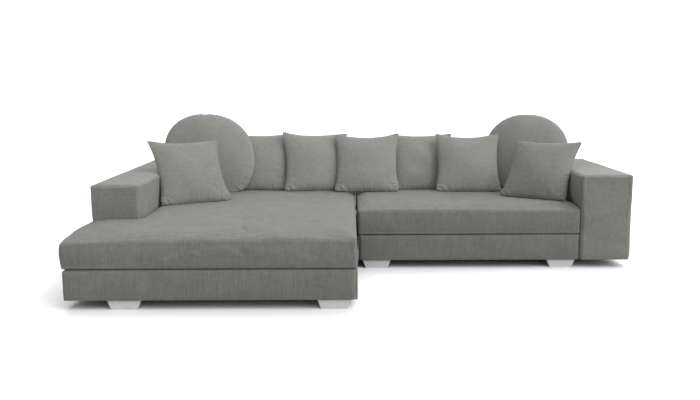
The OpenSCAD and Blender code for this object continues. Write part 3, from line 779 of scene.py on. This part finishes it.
class Tree:
    """Short calls that add and join shader nodes."""

    def __init__(self, tree):
        self.nodes = tree.nodes
        self.links = tree.links

    def add(self, kind, inputs=None, **values):
        node = self.nodes.new("ShaderNode" + kind)
        for key, value in values.items():
            setattr(node, key, value)
        for key, value in (inputs or {}).items():
            if isinstance(value, bpy.types.NodeSocket):
                self.links.new(value, node.inputs[key])
            else:
                node.inputs[key].default_value = value
        return node

    def math(self, operation, a, b=None, c=None):
        given = {i: v for i, v in enumerate((a, b, c)) if v is not None}
        return self.add("Math", given, operation=operation).outputs[0]

    def mul(self, a, b):
        return self.math("MULTIPLY", a, b)

    def mad(self, a, b, c):
        """a times b plus c."""
        return self.math("MULTIPLY_ADD", a, b, c)

    def noise(self, vector, scale, detail=2.0, rough=0.5):
        given = {"Vector": vector, "Scale": scale, "Detail": detail, "Roughness": rough}
        return self.add("TexNoise", given).outputs["Fac"]

    def times(self, vector, by):
        """A vector times another one, axis by axis."""
        return self.add("VectorMath", {0: vector, 1: by}, operation="MULTIPLY").outputs[0]

    def group(self, made, place, **values):
        return self.add("Group", {"Place": place["Object"], **values}, node_tree=made)

    def mix(self, factor, a, b, blend="MIX"):
        """A mix of two colours, which are inputs 6 and 7; the mixed one is output 2."""
        return self.add("Mix", {0: factor, 6: a, 7: b}, data_type="RGBA", blend_type=blend).outputs[2]


def new_group(name, places, numbers, results):
    """A node group with vectors and numbers as inputs and numbers as outputs."""
    group = bpy.data.node_groups.new(name, "ShaderNodeTree")
    for labels, way, kind in ((places, "INPUT", "Vector"), (numbers, "INPUT", "Float"),
                              (results, "OUTPUT", "Float")):
        for label in labels:
            group.interface.new_socket(label, in_out=way, socket_type="NodeSocket" + kind)
    tree = Tree(group)
    return group, tree, tree.nodes.new("NodeGroupInput").outputs, tree.nodes.new("NodeGroupOutput").inputs


def weave_group():
    """Plain weave on any face, drawn from the two axes that the face lies along."""
    group, tree, given, out = new_group("plain_weave", ["Place", "Facing"], ["Threads"], ["Height", "Thread"])
    wobble = tree.add("TexNoise", {"Vector": given["Place"], "Scale": 90.0, "Detail": 1.0})
    moved = tree.times(wobble.outputs["Color"], (0.0016, 0.0016, 0.0016))
    place = tree.add("VectorMath", {0: given["Place"], 1: moved}, operation="ADD").outputs[0]
    scaled = tree.add("VectorMath", {0: place, "Scale": given["Threads"]}, operation="SCALE")
    xyz = tree.add("SeparateXYZ", {0: scaled.outputs[0]}).outputs
    wave = [tree.math("SINE", tree.mul(xyz[i], math.pi)) for i in range(3)]
    facing = tree.add("SeparateXYZ", {0: given["Facing"]}).outputs
    weight = [tree.math("POWER", tree.math("ABSOLUTE", facing[i]), 6.0) for i in range(3)]
    total = tree.math("ADD", tree.math("ADD", weight[0], weight[1]), tree.math("ADD", weight[2], 0.0001))
    parts = [tree.mul(weight[i], tree.mul(wave[(i + 1) % 3], wave[(i + 2) % 3])) for i in range(3)]
    height = tree.math("DIVIDE", tree.math("ADD", tree.math("ADD", parts[0], parts[1]), parts[2]), total)
    fuzz = tree.noise(given["Place"], 2600.0)
    tree.links.new(tree.mad(fuzz, 0.7, tree.mul(height, 0.6)), out["Height"])
    tree.links.new(tree.mad(height, 0.5, 0.5), out["Thread"])
    return group


def tone_group():
    """Uneven colour of yarn and dye: fine flecks, slubs along both threads, and broad clouds."""
    group, tree, given, out = new_group("yarn_tone", ["Place"], ["Flecks", "Slubs", "Clouds"], ["Tone"])
    flecks = tree.noise(given["Place"], 150.0, 4.0, 0.75)
    long_x = tree.times(given["Place"], (14.0, 14.0, 190.0))
    long_z = tree.times(given["Place"], (190.0, 60.0, 11.0))
    slubs = tree.math("ADD", tree.mul(tree.noise(long_x, 1.0), 0.7), tree.mul(tree.noise(long_z, 1.0), 1.3))
    clouds = tree.math("ADD", tree.noise(given["Place"], 7.0), tree.noise(given["Place"], 34.0))
    tone = 1.0
    for value, middle, amount in ((flecks, 0.5, given["Flecks"]), (slubs, 1.0, given["Slubs"]),
                                  (clouds, 1.0, given["Clouds"])):
        tone = tree.mad(tree.math("SUBTRACT", value, middle), amount, tone)
    tree.links.new(tone, out["Tone"])
    return group


WEAR_SHARPNESS = 8.0
WEAR_START = 0.515


def wear_group():
    """Mask of rubbed edges, from how sharply the surface turns."""
    group, tree, given, out = new_group("rubbed_edges", ["Place"], [], ["Mask"])
    turn = tree.add("NewGeometry").outputs["Pointiness"]
    raised = tree.mul(tree.math("SUBTRACT", turn, WEAR_START), WEAR_SHARPNESS)
    patchy = tree.mad(tree.noise(given["Place"], 60.0, 3.0), 1.2, -0.1)
    tree.links.new(tree.add("Clamp", {0: tree.mul(raised, patchy)}).outputs[0], out["Mask"])
    return group


RING_SCALE = 60.0


def grain_group():
    """Growth rings and pores of sawn softwood, the rings in level layers that noise bends."""
    group, tree, given, out = new_group("wood_grain", ["Place"], [], ["Ring", "Pore"])
    drawn = tree.times(given["Place"], (0.12, 0.12, 1.0))
    bent = tree.noise(drawn, 9.0, 3.0)
    z = tree.add("SeparateXYZ", {0: given["Place"]}).outputs[2]
    rings = tree.math("SINE", tree.mul(tree.mad(bent, 0.5, z), RING_SCALE))
    fine = tree.times(given["Place"], (40.0, 40.0, 900.0))
    tree.links.new(tree.mad(rings, 0.5, 0.5), out["Ring"])
    tree.links.new(tree.noise(fine, 1.0), out["Pore"])
    return group


WEAVE, TONE, WEAR, GRAIN = weave_group(), tone_group(), wear_group(), grain_group()


def new_material(name, roughness, **values):
    """A material, its tree, its shader's inputs, and outputs that give the place on a piece."""
    material = bpy.data.materials.new(name)
    material.use_nodes = True
    material.node_tree.nodes.clear()
    tree = Tree(material.node_tree)
    shader = tree.add("BsdfPrincipled", {"Roughness": roughness})
    for key, value in values.items():
        shader.inputs[key.replace("_", " ")].default_value = value
    tree.add("OutputMaterial", {"Surface": shader.outputs[0]})
    place = tree.add("TexCoord").outputs
    return material, tree, shader.inputs, place


def toned(tree, colour, tone):
    """colour times a tone, as a colour socket."""
    grey = tree.add("CombineXYZ", {0: tone, 1: tone, 2: tone}).outputs[0]
    return tree.mix(1.0, (*colour, 1.0), grey, "MULTIPLY")


def bumped(tree, shader, height, distance, strength):
    bump = tree.add("Bump", {"Height": height, "Distance": distance, "Strength": strength})
    tree.links.new(bump.outputs[0], shader["Normal"])


def cloth(name, colour, threads, flecks, slubs, clouds, roughness, sheen, rubbed):
    """Woven cloth: threads per metre, then how strong each unevenness, the sheen and the wear are."""
    material, tree, shader, place = new_material(
        name, roughness, Sheen_Weight=sheen, Sheen_Roughness=0.5, Specular_IOR_Level=0.04)
    weave = tree.group(WEAVE, place, Facing=place["Normal"], Threads=threads)
    tone = tree.group(TONE, place, Flecks=flecks, Slubs=slubs, Clouds=clouds)
    wear = tree.group(WEAR, place)
    shade = tree.mul(tone.outputs["Tone"], tree.mad(weave.outputs["Thread"], 0.16, 0.92))
    base = toned(tree, colour, shade)
    pale = tuple(min(1.0, c * 1.35) for c in colour)
    worn = tree.mix(tree.mul(wear.outputs["Mask"], rubbed), base, (*pale, 1.0))
    tree.links.new(worn, shader["Base Color"])
    rough = tree.mad(weave.outputs["Thread"], -0.08, roughness + 0.04)
    tree.links.new(rough, shader["Roughness"])
    bumped(tree, shader, weave.outputs["Height"], 0.0006, 0.55)
    return material


FABRIC = cloth("woven_upholstery", (0.121, 0.123, 0.110), 620.0, 0.60, 0.38, 0.26, 0.88, 0.07, 0.35)
# The arm cloth is the upholstery's cloth with its grey painted paler, standing in for the light on the arms.
ARM_FABRIC_PAINTED_PALER = cloth("woven_arm_cloth_painted_paler", (0.146, 0.148, 0.133), 620.0, 0.50, 0.36, 0.22, 0.88, 0.07, 0.35)
# The pillow cloths are the upholstery's grey painted paler, standing in for the light on the pillows; the
# corner copy is painted a little darker than the other pillows' copy, as painted shade.
PILLOW_FABRIC_PAINTED_PALER = cloth("woven_pillow_cloth_painted_paler", (0.172, 0.175, 0.158), 700.0, 0.42, 0.30, 0.16, 0.9, 0.08, 0.35)
CORNER_FABRIC_PAINTED_PALER = cloth("woven_corner_cloth_painted_paler", (0.148, 0.151, 0.136), 700.0, 0.46, 0.30, 0.18, 0.9, 0.08, 0.35)
BELT = cloth("elastic_belt", (0.05, 0.05, 0.048), 520.0, 0.2, 0.2, 0.05, 0.7, 0.0, 0.1)
DUST_CLOTH = cloth("dust_cloth", (0.014, 0.014, 0.015), 1100.0, 0.5, 0.3, 0.2, 0.9, 0.0, 0.0)


def foam():
    material, tree, shader, place = new_material("cut_foam", 0.95)
    cells = tree.add("TexVoronoi", {"Vector": place["Object"], "Scale": 500.0}).outputs["Distance"]
    tone = tree.mad(cells, 0.35, 0.85)
    tree.links.new(toned(tree, (0.72, 0.66, 0.46), tone), shader["Base Color"])
    bumped(tree, shader, cells, 0.001, 0.7)
    return material


def softwood():
    material, tree, shader, place = new_material("sawn_softwood", 0.62)
    grain = tree.group(GRAIN, place)
    base = tree.mix(grain.outputs["Ring"], (0.60, 0.40, 0.20, 1), (0.42, 0.24, 0.10, 1))
    base = tree.mix(tree.mul(grain.outputs["Pore"], 0.3), base, (0.25, 0.14, 0.06, 1))
    wear = tree.group(WEAR, place)
    tree.links.new(tree.mix(wear.outputs["Mask"], base, (0.7, 0.5, 0.28, 1)), shader["Base Color"])
    bumped(tree, shader, grain.outputs["Pore"], 0.0005, 0.4)
    return material


def lacquer():
    """Silver-grey satin finish of the feet, with a faint vertical mist and rubbed corners."""
    material, tree, shader, place = new_material("silver_lacquer", 0.42, Coat_Weight=0.15, Coat_Roughness=0.3)
    cloud = tree.noise(tree.times(place["Object"], (30.0, 30.0, 6.0)), 1.0, 3.0)
    speck = tree.noise(place["Object"], 900.0)
    tone = tree.mad(cloud, 0.10, tree.mad(speck, 0.06, 0.92))
    wear = tree.group(WEAR, place)
    base = toned(tree, (0.385, 0.385, 0.39), tone)
    worn = tree.mix(tree.mul(wear.outputs["Mask"], 0.5), base, (0.6, 0.6, 0.6, 1))
    tree.links.new(worn, shader["Base Color"])
    tree.links.new(tree.mad(cloud, 0.14, 0.34), shader["Roughness"])
    bumped(tree, shader, speck, 0.0002, 0.25)
    return material


def zinc():
    material, tree, shader, place = new_material("zinc_plated_steel", 0.38, Metallic=1.0)
    spangle = tree.add("TexVoronoi", {"Vector": place["Object"], "Scale": 260.0}).outputs["Color"]
    tone = tree.add("SeparateColor", {0: spangle}).outputs[0]
    tree.links.new(tree.mix(tone, (0.50, 0.51, 0.53, 1), (0.64, 0.65, 0.66, 1)), shader["Base Color"])
    tree.links.new(tree.mad(tone, 0.18, 0.3), shader["Roughness"])
    return material


FOAM, SOFTWOOD, LACQUER, ZINC = foam(), softwood(), lacquer(), zinc()

CAD_FINISH = {
    SOFTWOOD: ["chaise_frame", "sofa_frame", "chaise_back_frame", "sofa_back_frame", "left_arm_frame",
               "right_arm_frame"],
    BELT: ["chaise_belts", "sofa_belts"],
    DUST_CLOTH: ["chaise_dust_cover", "sofa_dust_cover"],
    FOAM: ["chaise_seat_core", "sofa_seat_core"],
    LACQUER: ["chaise_feet", "sofa_feet"],
    ZINC: ["chaise_foot_bolts", "sofa_foot_bolts", "arm_bolts", "module_hooks", "module_catches"],
}


def wears(obj, material):
    obj.data.materials.clear()
    obj.data.materials.append(material)


for material, names in CAD_FINISH.items():
    for name in names:
        wears(nodes[name], material)


# Making the soft pieces

pillows = [square_pillow(*row, 3 + i) for i, row in enumerate(SQUARE_PILLOWS)]
pillows += [round_pillow(*row, 31 + i) for i, row in enumerate(ROUND_PILLOWS)]
CHAISE_CORNERS = [
    # x, y, inward x, inward y, first angle, outer 1 or inner -1
    (chaise_left, chaise_front, 1, 1, 180, 1),
    (chaise_right, chaise_front, -GAP_DRAW, 1, 270, 1),
    (chaise_right, BACK_FACE - PLAY, -GAP_DRAW, -HELD, 0, 1),
    (LEFT_ARM_FACE + PLAY, BACK_FACE - PLAY, HELD, -HELD, 90, 1),
    (LEFT_ARM_FACE + PLAY, LEFT_ARM_FRONT - PLAY, HELD, -HELD, 0, -1),
    (chaise_left, LEFT_ARM_FRONT - PLAY, 1, -HELD, 90, 1),
]
SOFA_CORNERS = [
    (sofa_left, SOFA_FRONT, GAP_DRAW, 1, 180, 1),
    (RIGHT_ARM_FACE - PLAY, SOFA_FRONT, -HELD, 1, 270, 1),
    (RIGHT_ARM_FACE - PLAY, BACK_FACE - PLAY, -HELD, -HELD, 0, 1),
    (sofa_left, BACK_FACE - PLAY, GAP_DRAW, -HELD, 90, 1),
]
seats = [
    seat_cushion("cushion_chaise", "chaise_seat_cushion", CHAISE_CORNERS,
                 ((LEFT_ARM_FACE + chaise_right) / 2, (chaise_front + LEFT_ARM_FRONT) / 2), CORNER_DROOP, 51),
    seat_cushion("cushion_sofa", "sofa_seat_cushion", SOFA_CORNERS,
                 ((sofa_left + RIGHT_ARM_FACE) / 2, (SOFA_FRONT + BACK_FACE) / 2), 0, 61),
]
blow_up()


def creased(obj, seam):
    """Keeps the sewn edge crisp under subdivision."""
    mesh = obj.data
    on_seam = np.zeros(len(mesh.vertices), np.float32)
    on_seam[seam] = 1
    edges = np.zeros(len(mesh.edges) * 2, np.int64)
    mesh.edges.foreach_get("vertices", edges)
    crease = mesh.attributes.new("crease_edge", "FLOAT", "EDGE")
    crease.data.foreach_set("value", on_seam[edges].reshape(-1, 2).min(axis=1))


PLEAT_PITCH = 0.023
PLEAT_REACH = 0.020
SQUARE_PLEAT = 0.0058
ROUND_PLEAT = 0.0095
SEAM_PULL = 0.0030
ROUND_R = 0.35


def gathered(obj, seed, square):
    """Draws in small folds beside the seam of a pillow, deepest along its lower part."""
    mesh = obj.data
    s, t = marked(mesh, "across", "up")
    if square:
        inward = (1 - np.maximum(np.abs(s), np.abs(t))) * PILLOW_W / 2
        upright = np.abs(s) > np.abs(t)
        side = np.where(upright, 1 + np.sign(s), 2 + np.sign(t))
        along = np.where(upright, t, s) * PILLOW_W / 2 + side * 0.6
    else:
        inward = (1 - np.hypot(s, t)) * ROUND_R
        along = np.arctan2(t, s) * ROUND_R
    x = inward.clip(0) / PLEAT_REACH
    folds = pleats(along, seed, PLEAT_PITCH)
    deep = folds * (0.25 + 0.75 * smoothstep(0.35, -0.45, t)) * (x * np.exp(1 - x)) ** 2
    deep *= SQUARE_PLEAT if square else ROUND_PLEAT
    points = points_of(mesh)
    pull = SEAM_PULL * folds * smoothstep(0.6, -0.3, t) * np.exp(-inward / SEAM_REACH)
    to_middle = points.mean(axis=0) - points
    to_middle /= np.linalg.norm(to_middle, axis=1, keepdims=True)
    set_points(mesh, points - normals_of(mesh) * deep[:, None] + to_middle * pull[:, None])


def finish_pillow(body, obj, node, seam, seed):
    square = not body.startswith("round")
    settle(obj.data, node, PILLOW_SWELL if square else ROUND_SWELL, PILLOW_SLACK)
    creased(obj, seam)
    with_modifier(obj, "SUBSURF", levels=1, render_levels=1)
    gathered(obj, seed, square)
    smooth_shaded(obj)
    # Pillows wear the upholstery grey painted paler for light, and the corner pillows a copy painted a little
    # darker for shade.
    wears(obj, CORNER_FABRIC_PAINTED_PALER if body.startswith("corner") else PILLOW_FABRIC_PAINTED_PALER)
    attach(obj, body)


for i, pillow in enumerate(pillows):
    finish_pillow(*pillow, 200 + i)


def finish_seat(obj, node, depth, along, size, seed):
    points, normals = points_of(obj.data), normals_of(obj.data)
    top = smoothstep(0.3, 0.9, normals[:, 2])
    side = 1 - smoothstep(0.2, 0.6, np.abs(normals[:, 2]))
    dents = uneven(points, TOP_WAVES, seed) - TOP_SUNK
    soft = uneven(points, SIDE_WAVES, seed + 2)
    low = points[:, 2].min()
    up = points[:, 2] - low
    from_seam = np.minimum(np.abs(up - SEAM_LOW), np.abs(up - SEAM_HIGH))
    folds = FOLD_DEPTH * pleats(along, seed + 4, FOLD_PITCH) * np.exp(-from_seam / SEAM_REACH)
    moved = dents * top + (soft - folds) * side - depth
    set_points(obj.data, points + normals * moved[:, None])
    settle(obj.data, node, SEAT_SWELL, SEAT_SLACK, low + LOOSE_EDGE)
    points = points_of(obj.data)
    fine = finer(points[:-2].reshape(*size, 3))
    verts = np.vstack([fine.reshape(-1, 3), points[-2:]])
    if node == "chaise_seat_cushion":
        verts = bowed(verts, low)
    obj.data.clear_geometry()
    obj.data.from_pydata(verts.tolist(), [], ring_faces(*fine.shape[:2]))
    smooth_shaded(obj)
    wears(obj, FABRIC)
    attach(obj, "sofa")


for row in seats:
    finish_seat(*row)

COVERS = [
    # material, name, CAD node, swell, seed, roll, crisp
    (FABRIC, "base_cover_chaise", "chaise_base_cover", BASE_SWELL, 71, BASE_ROLL, 0),
    (FABRIC, "base_cover_sofa", "sofa_base_cover", BASE_SWELL, 73, BASE_ROLL, 0),
    # The arms wear the upholstery cloth painted paler, for the light on them.
    (ARM_FABRIC_PAINTED_PALER, "arm_cover_left", "left_arm_cover", (0.004, 0.004, 0.010), 75, None, ARM_CORNER),
    (ARM_FABRIC_PAINTED_PALER, "arm_cover_right", "right_arm_cover", (0.014, 0.004, 0.006), 77, None, ARM_CORNER),
    (FABRIC, "back_cover_chaise", "chaise_back_cover", BACK_SWELL, 79, None, 0),
    (FABRIC, "back_cover_sofa", "sofa_back_cover", BACK_SWELL, 81, None, 0),
]
for material, *row in COVERS:
    wears(cover(*row), material)


HEM = 0.004


def arm_dust_cloth_for_shade():
    """Black cloth stapled under the right arm, which stands clear of the floor: a real kind of dust cloth,
    put here as a dark sheet for the shade under the arm.
    """
    low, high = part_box("right_arm_frame")
    steps_x, steps_y = 12, 40
    x = np.linspace(low.x + HEM, high.x - HEM, steps_x + 1)
    y = np.linspace(low.y + HEM, high.y - HEM, steps_y + 1)
    gx, gy = np.meshgrid(x, y, indexing="ij")
    sag = 0.002 * np.sin(math.pi * np.linspace(0, 1, steps_x + 1))[:, None] * np.ones(steps_y + 1)
    verts = np.column_stack([gx.ravel(), gy.ravel(), (low.z - 0.0006 - sag).ravel()])
    obj = new_object("arm_dust_cloth_for_shade", verts, grid_faces(steps_x, steps_y))
    with_modifier(obj, "SOLIDIFY", thickness=0.0005)
    wears(obj, DUST_CLOTH)
    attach(obj, "sofa")


arm_dust_cloth_for_shade()


# Floor, light and camera

SUNS = [
    # name, direction that it comes from, spread in degrees, strength
    ("softbox_right", (0.82, -0.36, 0.60), 60, 3.1),
    ("softbox_back", (0.1, 0.8, 1.0), 60, 2.9),
    ("softbox_front", (0.10, -1.0, 0.45), 70, 1.15),
]
SPOT_PLACE = Vector((2.5, 0.1, 2.4))
FLOOR_HALF = 30
FLOOR_ALBEDO = 0.40
SEEN_FLOOR_GAIN = 0.34


def camera_ray(tree):
    return tree.add("LightPath").outputs["Is Camera Ray"]


def pale_floor():
    """A white floor, which the camera sees paler than the light that bounces off it."""
    h = FLOOR_HALF
    floor = new_object("floor", [(-h, -h, 0), (h, -h, 0), (h, h, 0), (-h, h, 0)], [(0, 1, 2, 3)])
    material, tree, shader, place = new_material("pale_floor", 0.9, Specular_IOR_Level=0.0)
    tone = tree.mad(tree.noise(place["Object"], 3.0), 0.01, 0.99)
    albedo = tree.mad(camera_ray(tree), SEEN_FLOOR_GAIN, FLOOR_ALBEDO)
    shade = toned(tree, (1.0, 1.0, 1.0), tree.mul(tone, albedo))
    tree.links.new(shade, shader["Base Color"])
    wears(floor, material)


def white_room():
    world = bpy.data.worlds.new("studio")
    scene.world = world
    world.use_nodes = True
    world.node_tree.nodes.clear()
    tree = Tree(world.node_tree)
    dim = tree.add("Background", {"Color": (0.97, 0.98, 1.0, 1), "Strength": 0.65})
    white = tree.add("Background", {"Color": (1, 1, 1, 1), "Strength": 1.0})
    both = tree.add("MixShader", {0: camera_ray(tree), 1: dim.outputs[0], 2: white.outputs[0]})
    tree.add("OutputWorld", {"Surface": both.outputs[0]})


def add_lamp(name, kind, toward_lamp, **values):
    data = bpy.data.lights.new(name, kind)
    for key, value in values.items():
        setattr(data, key, value)
    obj = placed(name, data)
    obj.rotation_euler = Vector(toward_lamp).to_track_quat("Z", "Y").to_euler()
    return obj


def studio():
    pale_floor()
    white_room()
    for name, way, spread, power in SUNS:
        add_lamp(name, "SUN", way, energy=power, angle=math.radians(spread))
    aim = Vector((RIGHT_ARM_FACE + 0.2, 0.1, ARM_TOP))
    spot = add_lamp("spot_right_arm", "SPOT", SPOT_PLACE - aim, energy=90, spot_size=math.radians(28),
                    spot_blend=0.9, shadow_soft_size=0.25)
    spot.location = SPOT_PLACE


CAMERA_PLACE = (-0.1493, -5.5397, 1.2948)
CAMERA_TURN = (0.0010, 0.1470, -0.0039)
CAMERA_LENS = 41.14


def photo_camera():
    """Stands where the photograph was taken: an eye at 1.29 m, looking 8 degrees down."""
    yaw, pitch, roll = CAMERA_TURN
    turn = (Matrix.Rotation(-yaw, 4, "Z") @ Matrix.Rotation(math.pi / 2 - pitch, 4, "X")
            @ Matrix.Rotation(roll, 4, "Z"))
    data = bpy.data.cameras.new("camera")
    data.sensor_width = 36.0
    data.lens = CAMERA_LENS
    camera = placed("camera", data)
    camera.matrix_world = Matrix.Translation(CAMERA_PLACE) @ turn
    scene.camera = camera


studio()
photo_camera()
scene.view_settings.view_transform = "Standard"
